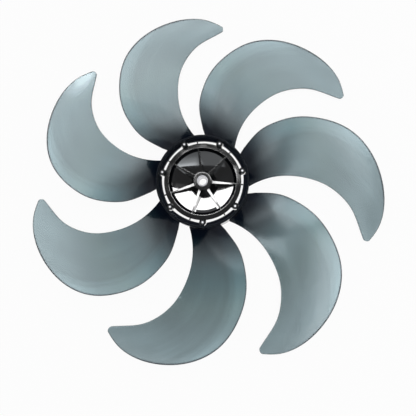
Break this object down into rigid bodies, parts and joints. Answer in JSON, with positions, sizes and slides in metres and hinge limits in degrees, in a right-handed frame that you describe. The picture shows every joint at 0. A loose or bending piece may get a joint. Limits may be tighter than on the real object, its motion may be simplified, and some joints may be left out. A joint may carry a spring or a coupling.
{
  "type": "axial fan impeller",
  "caption": "Axial fan impeller with swept sickle-shaped blades moulded to a hub ring, a ribbed black hub core and a metal shaft bush.",
  "frame": {"origin": "on the shaft axis in the front plane of the hub ring", "axes": "+Z along the shaft axis to the rear, towards the motor; the front, air-delivery side faces -Z"},
  "size_m": [0.3443, 0.3425, 0.0252],
  "materials": {
    "smoky_plastic": "translucent smoky grey-green moulding, glossy",
    "black_plastic": "opaque black moulding, high gloss",
    "bush_metal": "turned bright metal",
    "screw_steel": "dark plated steel",
    "weight_rubber": "dull black"
  },
  "bodies": {
    "root": {"blade_ring": "smoky_plastic", "hub_core": "black_plastic", "shaft_bush": "bush_metal", "ring_screws": "screw_steel", "balance_weight": "weight_rubber"}
  },
  "joints": []
}
